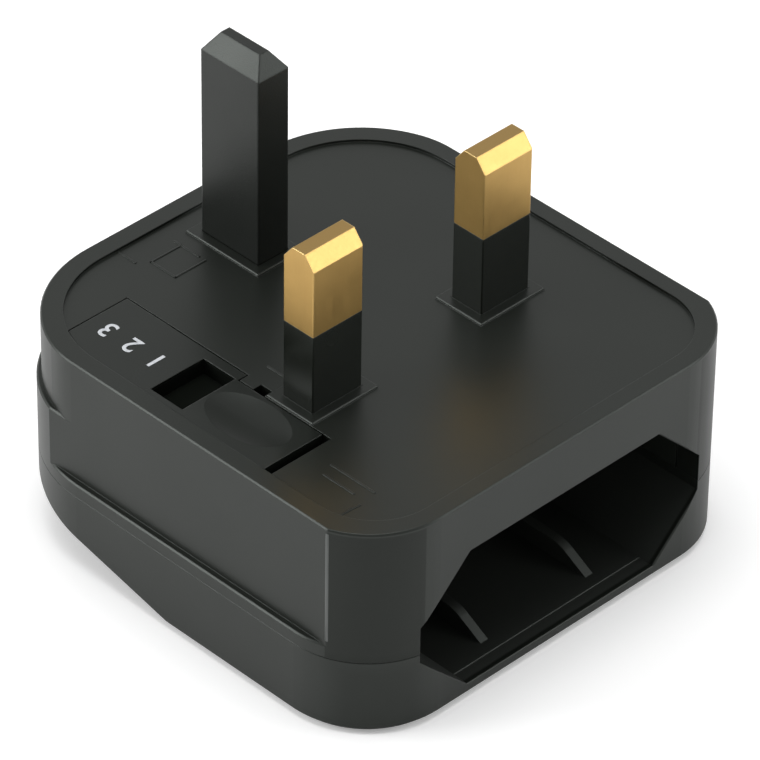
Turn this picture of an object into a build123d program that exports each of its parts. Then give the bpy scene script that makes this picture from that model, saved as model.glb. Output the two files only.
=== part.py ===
from build123d import *
import math
import os

# Plug adapter: a two-part moulded body with three flat pins on its pin face and a mouth for a two-pin plug.
# Millimetres. +Z points out of the pin face, +X from live to neutral, +Y from the mouth towards the earth pin.
# The origin is at the middle of the back, where the adapter rests.

# Body envelope
BODY_WIDTH = 52.0
BODY_LENGTH = 53.4
BODY_HEIGHT = 23.8
COVER_HEIGHT = 8.6
FRONT_CORNER_R = 9.5
REAR_CORNER_R = 14.0
BACK_SLOPE_START = 26.4
BACK_SLOPE = 12.6
BACK_EDGE_BEVEL = 0.8
FACE_BEVEL = 0.16
PARTING_BEVEL = 0.06

# Grip flats on both sides and the stepped rear of the base
GRIP_INSET = 0.7
GRIP_EDGE_R = 0.5
GRIP_LIP_HEIGHT = 1.5
REAR_STEP = 0.5
STEP_BLEND_R = 10.0
REAR_LEDGE_DEPTH = 7.2
LEDGE_BEVEL = 0.17

# Walls
SIDE_WALL = 2.1
FRONT_WALL = 2.6
REAR_WALL = 2.1
FACE_WALL = 2.6
BACK_WALL = 1.75
INNER_FRONT_CORNER_R = 7.1

# Pin face
FACE_RIM = 2.0
FACE_RECESS = 0.3
PLINTH_MARGIN = 1.1
PLINTH_RISE = 0.25
PLINTH_BEVEL = 0.1

# Pins, to the three-pin plug standard
PIN_PITCH = 22.23
PIN_ROW_TO_REAR = 32.2
LINE_PIN_WIDTH = 6.35
LINE_PIN_THICKNESS = 3.97
LINE_PIN_LENGTH = 17.6
PIN_EDGE_R = 0.12
LINE_TIP_FLAT = 1.6
LINE_TIP_BEVEL = 1.5
EARTH_PIN_WIDTH = 7.92
EARTH_PIN_THICKNESS = 3.97
EARTH_PIN_LENGTH = 23.1
EARTH_TIP_WIDTH = 5.3
EARTH_TIP_THICKNESS = 1.1
EARTH_TIP_BEVEL = 2.0
SLEEVE_LENGTH = 8.7
SLEEVE_WALL = 0.6
PIN_FIT = 0.05
PIN_HEAD_MARGIN = 0.5
PIN_HEAD_THICKNESS = 1.8
TENON_D = 3.0

# Chamber for the two-pin plug
SOCKET_DEPTH = 26.0
SOCKET_EDGE = 7.3
SOCKET_SLANT_RUN = 6.1
SOCKET_SLANT_RISE = 5.9
MOUTH_BEVEL = 0.12
MOUTH_REBATE = 0.05
MOUTH_REBATE_DEPTH = 1.8
GUIDE_RIB_SPACING = 14.2
GUIDE_RIB_WIDTH = 1.0
GUIDE_RIB_HEIGHT = 2.1
GUIDE_RIB_START = 3.2
GUIDE_RIB_RAMP = 3.7
GUIDE_RIB_CROWN_R = 4.0

# Chamber liner, contact holder and the round contacts
LINER_WALL = 0.9
LINER_FIT = 0.1
CHAMBER_END_WALL = 1.2
CONTACT_PITCH = 18.6
CONTACT_BORE = 4.2
CONTACT_WALL = 0.6
CONTACT_LENGTH = 16.0
CONTACT_SLIT = 0.8
SPRING_WALL = 0.35
SPRING_LENGTH = 6.0
SPRING_GAP = 1.4
ENTRY_HOLE_D = 5.0
TROUGH_WALL = 1.0
TROUGH_OVERRUN = 0.4
TROUGH_WEB = 1.6
TROUGH_FIT = 0.1
REST_THICKNESS = 1.2
REST_SETBACK = 1.4
REST_FIT = 0.1
TAB_WIDTH = 2.0
TAB_LENGTH = 3.0
TAB_SLOT_FIT = 0.3
EARTH_POST_SHRINK = 1.5

# Brass straps
STRAP_LIFT = 0.25
STRAP_THICKNESS = 0.6
STRAP_WIDTH = 4.0
LEAF_THICKNESS = 0.5
LEAF_WIDTH = 4.4
LEAF_GAP = 0.12
LEAF_RISE = 2.5
FRONT_LEAF_DROP = 1.3

# Cartridge fuse and its carrier
FUSE_LENGTH = 25.4
FUSE_D = 6.35
FUSE_CAP_LENGTH = 5.5
FUSE_CAP_WALL = 0.3
FUSE_CAP_END = 0.5
FUSE_TUBE_FIT = 0.02
FUSE_SETBACK = 4.3
FUSE_DEPTH = 5.8
CARRIER_REACH = 4.45
CARRIER_FRONT_REACH = 3.3
CARRIER_PLATE = 1.6
CARRIER_END_GAP = 1.25
CARRIER_SHOULDER = 10.1
CARRIER_FIT = 0.15
CARRIER_WALL = 0.55
CARRIER_LEDGE = 0.5
CARRIER_SKIRT_DROP = 1.0
CARRIER_END_DROP = 0.8
CARRIER_SKIRT_FIT = 0.2
POCKET_OUTER = 3.5
POCKET_LENGTH = 4.35
POCKET_DEPTH = 1.8
POCKET_FLOOR = 0.45
SCOOP_LENGTH = 10.0
SCOOP_WIDTH = 6.0
SCOOP_DEPTH = 0.4
SCOOP_SETBACK = 5.3
LEVER_SLOT = 1.05
LATCH_NOTCH_WIDTH = 1.0
LATCH_NOTCH_LENGTH = 1.5
LATCH_NOTCH_SETBACK = 2.0
FUSE_BACKING_FIT = 0.12

# Cover screws and the cover's locating tongues
SCREW_WALL = 0.4
SCREW_D = 2.9
SCREW_LENGTH = 13.0
SCREW_HEAD_D = 5.6
SCREW_HEAD_HEIGHT = 2.2
SCREW_SUNK = 1.2
SCREW_FIT = 0.1
SCREW_CROSS_WIDTH = 0.8
SCREW_CROSS_DEPTH = 1.1
COVER_BOSS_WALL = 1.1
BASE_BOSS_WALL = 1.45
TONGUE_LENGTH = 6.0
TONGUE_RISE = 2.0
TONGUE_THICKNESS = 1.0
TONGUE_FIT = 0.1
SIDE_TONGUE_SETBACK = 30.7

# Worked out from the sizes above
FRONT_Y = -BODY_LENGTH / 2
REAR_Y = BODY_LENGTH / 2
FLOOR_Z = BODY_HEIGHT - FACE_RECESS
UNDERSIDE_Z = BODY_HEIGHT - FACE_WALL
GRIP_X = BODY_WIDTH / 2 - GRIP_INSET
LIP_Z = COVER_HEIGHT + GRIP_LIP_HEIGHT
LEDGE_Z = BODY_HEIGHT - REAR_LEDGE_DEPTH
SLOPE_Y = REAR_Y - BACK_SLOPE_START
INNER_X = GRIP_X - SIDE_WALL
INNER_FRONT_Y = FRONT_Y + FRONT_WALL
INNER_REAR_Y = REAR_Y - REAR_WALL
LINE_Y = REAR_Y - PIN_ROW_TO_REAR
EARTH_Y = LINE_Y + PIN_PITCH
LINE_X = PIN_PITCH / 2
HEAD_Z = UNDERSIDE_Z - PIN_HEAD_THICKNESS
STRAP_Z = HEAD_Z - STRAP_THICKNESS
SOCKET_WIDTH = BODY_WIDTH - 2 * SOCKET_EDGE
SOCKET_HEIGHT = STRAP_Z - STRAP_LIFT - LINER_WALL - BACK_WALL
SOCKET_Z = BACK_WALL + SOCKET_HEIGHT / 2
CHAMBER_END_Y = FRONT_Y + SOCKET_DEPTH
TROUGH_Y = CHAMBER_END_Y + CHAMBER_END_WALL
CONTACT_X = CONTACT_PITCH / 2
CONTACT_OD = CONTACT_BORE + 2 * CONTACT_WALL
CONTACT_Y = TROUGH_Y + LINER_FIT
CONTACT_END_Y = CONTACT_Y + CONTACT_LENGTH
TROUGH_END_Y = CONTACT_END_Y + TROUGH_OVERRUN
TROUGH_BORE = CONTACT_OD + 2 * SPRING_WALL + 2 * TROUGH_FIT
TROUGH_WIDTH = TROUGH_BORE + 2 * TROUGH_WALL
DECK_Z = SOCKET_Z + TROUGH_WIDTH / 2
TROUGH_LOW_Z = SOCKET_Z - TROUGH_WIDTH / 2
TAB_Y = CONTACT_END_Y - TAB_LENGTH / 2
FUSE_Z = BODY_HEIGHT - FUSE_DEPTH
FUSE_FRONT_Y = LINE_Y - FUSE_CAP_LENGTH / 2 - 0.6
FUSE_REAR_Y = FUSE_FRONT_Y + FUSE_LENGTH
CARRIER_FRONT_Y = FUSE_FRONT_Y - CARRIER_END_GAP
CARRIER_REAR_Y = FUSE_REAR_Y + CARRIER_END_GAP
FUSE_X = FUSE_SETBACK - INNER_X
CARRIER_RIGHT = FUSE_X + CARRIER_REACH
CARRIER_FRONT_RIGHT = FUSE_X + CARRIER_FRONT_REACH
POCKET_X = (FUSE_X - POCKET_OUTER, CARRIER_FRONT_RIGHT)
SHOULDER_Y = FUSE_FRONT_Y + CARRIER_SHOULDER
CARRIER_LEFT = -(GRIP_X - FACE_RIM - CARRIER_FIT)
CARRIER_BOTTOM_Z = FLOOR_Z - CARRIER_PLATE
LEAF_X = FUSE_X + FUSE_D / 2 + LEAF_GAP
REAR_LEAF_Y = FUSE_REAR_Y - FUSE_CAP_LENGTH / 2
POCKET_Y = SHOULDER_Y + 0.3
SCREW_HEAD_TOP_Z = SCREW_SUNK + SCREW_HEAD_HEIGHT
COVER_BOSS_R = SCREW_HEAD_D / 2 + SCREW_FIT + COVER_BOSS_WALL
SCREW_X = SOCKET_WIDTH / 2 + LINER_WALL + LINER_FIT + SCREW_WALL + SCREW_FIT + SCREW_D / 2
SCREW_Y = FRONT_Y + FRONT_CORNER_R
SIDE_TONGUE_Y = FRONT_Y + SIDE_TONGUE_SETBACK
PIN_SITES = ((-LINE_X, LINE_Y), (LINE_X, LINE_Y))


def block(x, y, z):
    """Box between a low and a high bound on each axis."""
    centre = Pos((x[0] + x[1]) / 2, (y[0] + y[1]) / 2, (z[0] + z[1]) / 2)
    return centre * Box(x[1] - x[0], y[1] - y[0], z[1] - z[0])


def upright(sketch, low, high):
    """Plan sketch extruded between two heights."""
    return extrude(Pos(0, 0, low) * sketch, high - low)


def along_y(sketch, front, rear, taper=0.0):
    """Section drawn in X and Z, extruded from the front plane to the rear plane."""
    plane = Plane(origin=(0, front, 0), x_dir=(-1, 0, 0), z_dir=(0, 1, 0))
    return extrude(plane * mirror(sketch, Plane.YZ), rear - front, taper=taper)


def along_x(sketch, left, right):
    """Section drawn in Y and Z, extruded from the left plane to the right plane."""
    plane = Plane(origin=(left, 0, 0), x_dir=(0, 1, 0), z_dir=(1, 0, 0))
    return extrude(plane * sketch, right - left)


def arc_radius(run, drop):
    """Radius of an arc that falls by a drop over a run from its crown."""
    return (run ** 2 + drop ** 2) / (2 * drop)


def polygon(*points):
    """Flat face inside a closed run of corner points."""
    return make_face(Polyline(*points, close=True))


def rounded_plan(half_width, front, rear, front_r, rear_r):
    """Rectangle in plan with one radius on the front corners and one on the rear corners."""
    plan = Pos(0, (front + rear) / 2) * Rectangle(2 * half_width, rear - front)
    plan = fillet(plan.vertices().group_by(Axis.Y)[0], front_r)
    return fillet(plan.vertices().group_by(Axis.Y)[-1], rear_r)


def body_plan(rear_inset=0.0):
    """Outline of the body, or of its stepped rear."""
    return rounded_plan(BODY_WIDTH / 2 - rear_inset, FRONT_Y, REAR_Y - rear_inset,
                        FRONT_CORNER_R - rear_inset, REAR_CORNER_R - rear_inset)


def inner_plan(gap=0.0):
    """Outline of the hollow inside both mouldings, drawn in by a gap."""
    return rounded_plan(INNER_X - gap, INNER_FRONT_Y + gap, INNER_REAR_Y - gap, INNER_FRONT_CORNER_R - gap,
                        REAR_CORNER_R - REAR_WALL - gap)


def face_plan(gap=0.0):
    """Outline of the recessed middle of the pin face, drawn in by a gap."""
    edge = FACE_RIM + gap
    return rounded_plan(GRIP_X - edge, FRONT_Y + edge, REAR_Y - GRIP_INSET - edge,
                        FRONT_CORNER_R - GRIP_INSET - edge, REAR_CORNER_R - GRIP_INSET - edge)


def grip_plan():
    """Outline above the lip: flat on both sides, with a softened edge at the front of each flat."""
    plan = body_plan() & Rectangle(2 * GRIP_X, 2 * BODY_LENGTH)
    flat_ends = plan.vertices().filter_by(lambda end: abs(abs(end.X) - GRIP_X) < GRIP_EDGE_R / 2)
    return fillet(flat_ends.filter_by(lambda end: end.Y < 0), GRIP_EDGE_R)


def step_plan():
    """Outline above the rear ledge: the grip outline with its rear drawn in and blended into the flats."""
    rear_half = Pos(0, BODY_LENGTH) * Rectangle(2 * BODY_WIDTH, 2 * BODY_LENGTH)
    plan = grip_plan() - (rear_half - body_plan(REAR_STEP))
    flat_ends = plan.vertices().filter_by(lambda end: abs(abs(end.X) - GRIP_X) < GRIP_EDGE_R / 2)
    return fillet(flat_ends.filter_by(lambda end: end.Y > 0), STEP_BLEND_R)


def above_slope(floor):
    """Everything above the back, which rises in a straight slope towards the rear, at a height over it."""
    reach = 2 * BODY_LENGTH
    rise = reach * math.tan(math.radians(BACK_SLOPE))
    side = polygon((SLOPE_Y - reach, floor), (SLOPE_Y, floor), (SLOPE_Y + reach, floor + rise),
                   (SLOPE_Y + reach, rise + reach), (SLOPE_Y - reach, rise + reach))
    return along_x(side, -BODY_WIDTH, BODY_WIDTH)


def socket_profile(grow=0.0):
    """Eight-sided section of the plug chamber, grown or shrunk evenly."""
    half_width = SOCKET_WIDTH / 2
    half_height = SOCKET_HEIGHT / 2
    half_top = half_width - SOCKET_SLANT_RUN
    half_side = half_height - SOCKET_SLANT_RISE
    quarter = [(half_top, half_height), (half_width, half_side), (half_width, -half_side), (half_top, -half_height)]
    corners = quarter + [(-x, -z) for x, z in quarter]
    profile = polygon(*corners)
    if grow:
        profile = offset(profile, grow, kind=Kind.INTERSECTION)
    return Pos(0, SOCKET_Z) * profile


def carrier_plan(clearance):
    """Plan of the fuse carrier, narrower beside the live pin, kept inside the rim of the pin face."""
    left = CARRIER_LEFT - clearance
    stepped = polygon((left, CARRIER_FRONT_Y), (CARRIER_FRONT_RIGHT + clearance, CARRIER_FRONT_Y),
                      (CARRIER_FRONT_RIGHT + clearance, SHOULDER_Y - clearance),
                      (CARRIER_RIGHT + clearance, SHOULDER_Y - clearance),
                      (CARRIER_RIGHT + clearance, CARRIER_REAR_Y + clearance), (left, CARRIER_REAR_Y + clearance))
    return stepped & face_plan(CARRIER_FIT - clearance)


def screw_sites():
    """Places of the two cover screws."""
    return [Pos(side * SCREW_X, SCREW_Y) for side in (-1, 1)]


def pin_plan(width, thickness, margin=0.0):
    """Section of a pin with softened corners and an even margin round it."""
    return RectangleRounded(width + 2 * margin, thickness + 2 * margin, PIN_EDGE_R + max(margin, 0))


def tier(plan, low, high, bevel):
    """One tier of the base, with a bevel round its top edge."""
    solid = upright(plan, low, high)
    return chamfer(solid.faces().sort_by(Axis.Z)[-1].outer_wire().edges(), bevel)


def base_envelope():
    """Solid outside of the base: a lip over the parting line, grip flats and the stepped rear."""
    lip = tier(body_plan(), COVER_HEIGHT, LIP_Z, LEDGE_BEVEL)
    lip = chamfer(lip.faces().sort_by(Axis.Z)[0].outer_wire().edges(), PARTING_BEVEL)
    grip = tier(grip_plan(), LIP_Z - 2 * LEDGE_BEVEL, LEDGE_Z, LEDGE_BEVEL)
    return lip + grip + tier(step_plan(), LEDGE_Z - 2 * LEDGE_BEVEL, BODY_HEIGHT, FACE_BEVEL)


def mouth():
    """Plug chamber from in front of the body to its inner end, bevelled and with a lower sill at the mouth."""
    bevel = along_y(socket_profile(MOUTH_BEVEL), FRONT_Y, FRONT_Y + MOUTH_BEVEL, taper=45)
    half_sill = SOCKET_WIDTH / 2 - SOCKET_SLANT_RUN
    sill = block((-half_sill, half_sill), (FRONT_Y, FRONT_Y + MOUTH_REBATE_DEPTH),
                 (BACK_WALL - MOUTH_REBATE, SOCKET_Z))
    return along_y(socket_profile(), FRONT_Y - 1, CHAMBER_END_Y + CHAMBER_END_WALL + LINER_FIT) + bevel + sill


def fuse_window():
    """Stepped window for the fuse carrier, with the lever slot in front and the latch notch beside it."""
    top = upright(carrier_plan(CARRIER_FIT), CARRIER_BOTTOM_Z, BODY_HEIGHT)
    right = CARRIER_RIGHT - CARRIER_LEDGE
    left = CARRIER_LEFT - CARRIER_FIT
    front_right = CARRIER_FRONT_RIGHT + CARRIER_FIT
    throat_rear = CARRIER_REAR_Y - CARRIER_LEDGE
    throat_plan = polygon((left, CARRIER_FRONT_Y), (front_right, CARRIER_FRONT_Y), (front_right, SHOULDER_Y),
                          (right, SHOULDER_Y), (right, throat_rear), (left, throat_rear))
    throat = upright(throat_plan & face_plan(), UNDERSIDE_Z, CARRIER_BOTTOM_Z)
    slot = block((left, front_right), (CARRIER_FRONT_Y - LEVER_SLOT, CARRIER_FRONT_Y), (UNDERSIDE_Z, BODY_HEIGHT))
    notch_rear = SHOULDER_Y - LATCH_NOTCH_SETBACK
    notch = block((front_right, front_right + LATCH_NOTCH_WIDTH), (notch_rear - LATCH_NOTCH_LENGTH, notch_rear),
                  (UNDERSIDE_Z, BODY_HEIGHT))
    return top + throat + slot + notch


def fuse_backing():
    """Two ribs on the live wall, which back the fuse caps and seat the carrier's outer edge."""
    left = -INNER_X - SIDE_WALL / 2
    right = FUSE_X - FUSE_D / 2 - FUSE_BACKING_FIT
    low = FUSE_Z - FUSE_D / 4
    ribs = Part()
    for y in (FUSE_FRONT_Y + FUSE_CAP_LENGTH / 2, REAR_LEAF_Y):
        ribs += block((left, right), (y - LEAF_WIDTH / 2, y + LEAF_WIDTH / 2), (low, CARRIER_BOTTOM_Z))
    return ribs


def plinth(width, thickness):
    """Low square-cornered pad round the foot of a pin."""
    plan = Rectangle(width + 2 * PLINTH_MARGIN, thickness + 2 * PLINTH_MARGIN)
    return tier(plan, FLOOR_Z, FLOOR_Z + PLINTH_RISE, PLINTH_BEVEL)


def base_housing():
    """Base moulding with the pin face, open towards the cover."""
    solid = base_envelope()
    solid -= upright(face_plan(), FLOOR_Z, BODY_HEIGHT)
    for x, y in PIN_SITES:
        solid += Pos(x, y) * plinth(LINE_PIN_WIDTH, LINE_PIN_THICKNESS)
    solid += Pos(0, EARTH_Y) * plinth(EARTH_PIN_THICKNESS, EARTH_PIN_WIDTH)
    solid -= upright(inner_plan(), COVER_HEIGHT, UNDERSIDE_Z)
    for site in screw_sites():
        boss = upright(site * Circle(SCREW_D / 2 + SCREW_FIT + BASE_BOSS_WALL), COVER_HEIGHT, UNDERSIDE_Z)
        boss &= upright(body_plan(GRIP_INSET), COVER_HEIGHT, UNDERSIDE_Z)
        solid += boss - along_y(socket_profile(LINER_WALL + LINER_FIT), FRONT_Y, TROUGH_Y)
        hole_end = SCREW_HEAD_TOP_Z + SCREW_LENGTH + SCREW_FIT
        solid -= upright(site * Circle(SCREW_D / 2 + SCREW_FIT), COVER_HEIGHT, hole_end)
    solid += fuse_backing()
    solid -= mouth()
    for x, y in PIN_SITES:
        solid -= upright(Pos(x, y) * pin_plan(LINE_PIN_WIDTH, LINE_PIN_THICKNESS, PIN_FIT), UNDERSIDE_Z, BODY_HEIGHT)
    earth_hole = Pos(0, EARTH_Y) * pin_plan(EARTH_PIN_THICKNESS, EARTH_PIN_WIDTH, PIN_FIT)
    solid -= upright(earth_hole, UNDERSIDE_Z, BODY_HEIGHT)
    return solid - fuse_window()


def guide_rib():
    """Rib on the chamber floor with a sloping lead-in and a rounded crown."""
    low = BACK_WALL - BACK_WALL / 4
    top = BACK_WALL + GUIDE_RIB_HEIGHT
    start = FRONT_Y + GUIDE_RIB_START
    crown = (start + GUIDE_RIB_RAMP, top)
    side = polygon((start, low), (start, BACK_WALL), crown, (CHAMBER_END_Y - LINER_FIT, top),
                   (CHAMBER_END_Y - LINER_FIT, low))
    side = fillet(side.vertices().sort_by_distance((*crown, 0))[0], GUIDE_RIB_CROWN_R)
    return along_x(side, -GUIDE_RIB_WIDTH / 2, GUIDE_RIB_WIDTH / 2)


def contact_rests():
    """Two ribs under one contact: shoulders for the holder's trough and a tongue for the sleeve."""
    low = BACK_WALL / 2
    ribs = Part()
    for y in (CONTACT_Y + REST_SETBACK, CONTACT_END_Y - REST_SETBACK):
        span = (y - REST_THICKNESS / 2, y + REST_THICKNESS / 2)
        ribs += block((-TROUGH_WIDTH / 2, TROUGH_WIDTH / 2), span, (low, TROUGH_LOW_Z))
        tongue = TROUGH_BORE / 2 - REST_FIT
        ribs += block((-tongue, tongue), span, (low, SOCKET_Z - CONTACT_OD / 2))
    return ribs


def locating_tongues():
    """Three tongues that rise from the cover inside the base's walls."""
    low = COVER_HEIGHT / 2
    high = COVER_HEIGHT + TONGUE_RISE
    outer = INNER_X - TONGUE_FIT
    half = TONGUE_LENGTH / 2
    tongues = Part()
    for side in (-1, 1):
        across = sorted((side * outer, side * (outer - TONGUE_THICKNESS)))
        tongues += block(across, (SIDE_TONGUE_Y - half, SIDE_TONGUE_Y + half), (COVER_HEIGHT, high))
        root = sorted((side * (INNER_X + SIDE_WALL / 4), side * (outer - TONGUE_THICKNESS)))
        tongues += block(root, (SIDE_TONGUE_Y - half, SIDE_TONGUE_Y + half), (low, COVER_HEIGHT))
    rear = INNER_REAR_Y - TONGUE_FIT
    tongues += block((-half, half), (rear - TONGUE_THICKNESS, rear), (COVER_HEIGHT, high))
    tongues += block((-half, half), (rear - TONGUE_THICKNESS, INNER_REAR_Y + SIDE_WALL / 4), (low, COVER_HEIGHT))
    return tongues


def back_cover():
    """Back moulding: a tray that rises to the rear, with the lower half of the plug chamber and the screw bosses."""
    solid = upright(body_plan(), 0, COVER_HEIGHT) & above_slope(0)
    solid = chamfer(solid.faces().sort_by(Axis.Z)[-1].outer_wire().edges(), PARTING_BEVEL)
    back = solid.faces().filter_by(lambda face: face.normal_at().Z < -0.5)
    crease = back[0].edges() & back[1].edges()
    solid = chamfer((back[0].edges() + back[1].edges()) - crease, BACK_EDGE_BEVEL)
    solid -= upright(inner_plan(), 0, COVER_HEIGHT) & above_slope(BACK_WALL)
    channel_end = TROUGH_Y + LINER_FIT
    half_channel = SOCKET_WIDTH / 2 + LINER_WALL
    inside = block((-half_channel, half_channel), (INNER_FRONT_Y, channel_end), (BACK_WALL, COVER_HEIGHT))
    for site in screw_sites():
        inside += upright(site * Circle(COVER_BOSS_R) & body_plan(BACK_EDGE_BEVEL), BACK_WALL, COVER_HEIGHT)
    for side in (-1, 1):
        inside += Pos(side * CONTACT_X) * contact_rests()
    solid += (inside + locating_tongues()) & above_slope(BACK_WALL / 2)
    for site in screw_sites():
        solid -= upright(site * Circle(SCREW_HEAD_D / 2 + SCREW_FIT), 0, SCREW_HEAD_TOP_Z)
        solid -= upright(site * Circle(SCREW_D / 2 + SCREW_FIT), SCREW_HEAD_TOP_Z, COVER_HEIGHT)
    solid -= mouth()
    for side in (-1, 1):
        solid += Pos(side * GUIDE_RIB_SPACING / 2) * guide_rib()
    return solid


def chamber_liner():
    """Inner moulding: roof of the plug chamber, its end wall with two entry holes, and pads under the line pins."""
    front = INNER_FRONT_Y + LINER_FIT
    upper = upright(inner_plan(LINER_FIT), COVER_HEIGHT, UNDERSIDE_Z)
    solid = along_y(socket_profile(LINER_WALL) - socket_profile(), front, TROUGH_Y) & upper
    solid += along_y(socket_profile(LINER_WALL), CHAMBER_END_Y, TROUGH_Y) & upper
    solid += along_y(socket_profile(-LINER_FIT), CHAMBER_END_Y, TROUGH_Y)
    roof_z = SOCKET_Z + SOCKET_HEIGHT / 2 + LINER_WALL
    for x, y in PIN_SITES:
        solid += upright(Pos(x, y) * Rectangle(STRAP_WIDTH, STRAP_WIDTH), roof_z - LINER_WALL / 2, STRAP_Z)
    for side in (-1, 1):
        hole = Pos(side * CONTACT_X, SOCKET_Z) * Circle(ENTRY_HOLE_D / 2)
        solid -= along_y(hole, CHAMBER_END_Y - 1, TROUGH_Y + 1)
    return solid


def contact_holder():
    """Inner moulding behind the chamber: two troughs over the contacts, a web and the post under the earth pin."""
    solid = block((-CONTACT_X, CONTACT_X), (TROUGH_Y, TROUGH_END_Y), (DECK_Z - TROUGH_WEB, DECK_Z))
    for side in (-1, 1):
        at = Pos(side * CONTACT_X)
        solid += at * block((-TROUGH_WIDTH / 2, TROUGH_WIDTH / 2), (TROUGH_Y, TROUGH_END_Y), (TROUGH_LOW_Z, DECK_Z))
    half_bore = TROUGH_BORE / 2
    slot_half = TAB_WIDTH / 2 + TAB_SLOT_FIT
    slot_y = (CONTACT_END_Y - TAB_LENGTH - TAB_SLOT_FIT, TROUGH_END_Y)
    for side in (-1, 1):
        at = Pos(side * CONTACT_X)
        solid -= at * block((-half_bore, half_bore), (TROUGH_Y, TROUGH_END_Y), (TROUGH_LOW_Z, SOCKET_Z + half_bore))
        solid -= at * block((-slot_half, slot_half), slot_y, (SOCKET_Z, DECK_Z))
    solid &= above_slope(BACK_WALL + LINER_FIT)
    post = Rectangle(EARTH_PIN_THICKNESS - EARTH_POST_SHRINK, EARTH_PIN_WIDTH - EARTH_POST_SHRINK)
    return solid + upright(Pos(0, TROUGH_END_Y - EARTH_PIN_WIDTH / 2) * post, DECK_Z, HEAD_Z)


def tipped_side(across, tip, length, bevel):
    """Side view of a pin above its head, bevelled to a narrow flat at the tip."""
    half = across / 2
    tip_half = tip / 2
    top = BODY_HEIGHT + length
    return polygon((-half, UNDERSIDE_Z), (half, UNDERSIDE_Z), (half, top - bevel), (tip_half, top),
                   (-tip_half, top), (-half, top - bevel))


def line_pin_face():
    """Side view of a line pin."""
    return tipped_side(LINE_PIN_THICKNESS, LINE_TIP_FLAT, LINE_PIN_LENGTH, LINE_TIP_BEVEL)


def line_sleeve():
    """Insulating sleeve, flush with the pin, in the pin's waist."""
    outside = pin_plan(LINE_PIN_WIDTH, LINE_PIN_THICKNESS)
    inside = Rectangle(LINE_PIN_WIDTH - 2 * SLEEVE_WALL, LINE_PIN_THICKNESS - 2 * SLEEVE_WALL)
    return upright(outside - inside, UNDERSIDE_Z, BODY_HEIGHT + SLEEVE_LENGTH)


def line_pin():
    """Brass line pin: bevelled blade, waist for the sleeve, head under the face and a riveting tenon."""
    half_width = LINE_PIN_WIDTH / 2
    blade = along_x(line_pin_face(), -half_width, half_width)
    blade &= upright(pin_plan(LINE_PIN_WIDTH, LINE_PIN_THICKNESS), UNDERSIDE_Z, BODY_HEIGHT + LINE_PIN_LENGTH)
    blade -= line_sleeve()
    head = Rectangle(LINE_PIN_WIDTH + 2 * PIN_HEAD_MARGIN, LINE_PIN_THICKNESS + 2 * PIN_HEAD_MARGIN)
    tenon = upright(Circle(TENON_D / 2), STRAP_Z, HEAD_Z)
    return blade + upright(head, HEAD_Z, UNDERSIDE_Z) + tenon


def earth_pin():
    """Plastic earth pin with a tip bevelled on four sides and a head under the face."""
    broad = tipped_side(EARTH_PIN_WIDTH, EARTH_TIP_WIDTH, EARTH_PIN_LENGTH, EARTH_TIP_BEVEL)
    narrow = tipped_side(EARTH_PIN_THICKNESS, EARTH_TIP_THICKNESS, EARTH_PIN_LENGTH, EARTH_TIP_BEVEL)
    section = pin_plan(EARTH_PIN_THICKNESS, EARTH_PIN_WIDTH)
    solid = upright(section, UNDERSIDE_Z, BODY_HEIGHT + EARTH_PIN_LENGTH)
    solid &= along_x(broad, -EARTH_PIN_THICKNESS, EARTH_PIN_THICKNESS)
    solid &= along_y(narrow, -EARTH_PIN_WIDTH, EARTH_PIN_WIDTH)
    head = Rectangle(EARTH_PIN_THICKNESS + 2 * PIN_HEAD_MARGIN, EARTH_PIN_WIDTH + 2 * PIN_HEAD_MARGIN)
    return Pos(0, EARTH_Y) * (solid + upright(head, HEAD_Z, UNDERSIDE_Z))


def fuse_body():
    """Ceramic tube of the fuse, filled, between the ends of its caps."""
    radius = FUSE_D / 2 - FUSE_CAP_WALL - FUSE_TUBE_FIT
    front = FUSE_FRONT_Y + FUSE_CAP_END + FUSE_TUBE_FIT
    return along_y(Pos(FUSE_X, FUSE_Z) * Circle(radius), front, FUSE_REAR_Y - FUSE_CAP_END - FUSE_TUBE_FIT)


def fuse_cap(closed, opened):
    """Plated end cap: a cup from its closed end to its open end."""
    centre = Pos(FUSE_X, FUSE_Z)
    inward = 1 if opened > closed else -1
    cup = along_y(centre * Circle(FUSE_D / 2), *sorted((closed, opened)))
    bore = along_y(centre * Circle(FUSE_D / 2 - FUSE_CAP_WALL), *sorted((closed + inward * FUSE_CAP_END, opened)))
    return cup - bore


def scoop():
    """Shallow finger dish in the carrier, between the pocket and the lever slot."""
    along_r = arc_radius(SCOOP_LENGTH / 2, SCOOP_DEPTH)
    across_r = arc_radius(SCOOP_WIDTH / 2, SCOOP_DEPTH)
    low = FLOOR_Z - SCOOP_DEPTH
    middle = (POCKET_X[0] + POCKET_X[1]) / 2
    deepest = POCKET_Y - SCOOP_SETBACK
    dish = Pos(middle, deepest, low + along_r) * Rot(0, 90, 0) * Torus(along_r - across_r, across_r)
    half = SCOOP_LENGTH / 2
    return dish & block(POCKET_X, (deepest - half, deepest + half), (low - SCOOP_DEPTH, BODY_HEIGHT))


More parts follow.
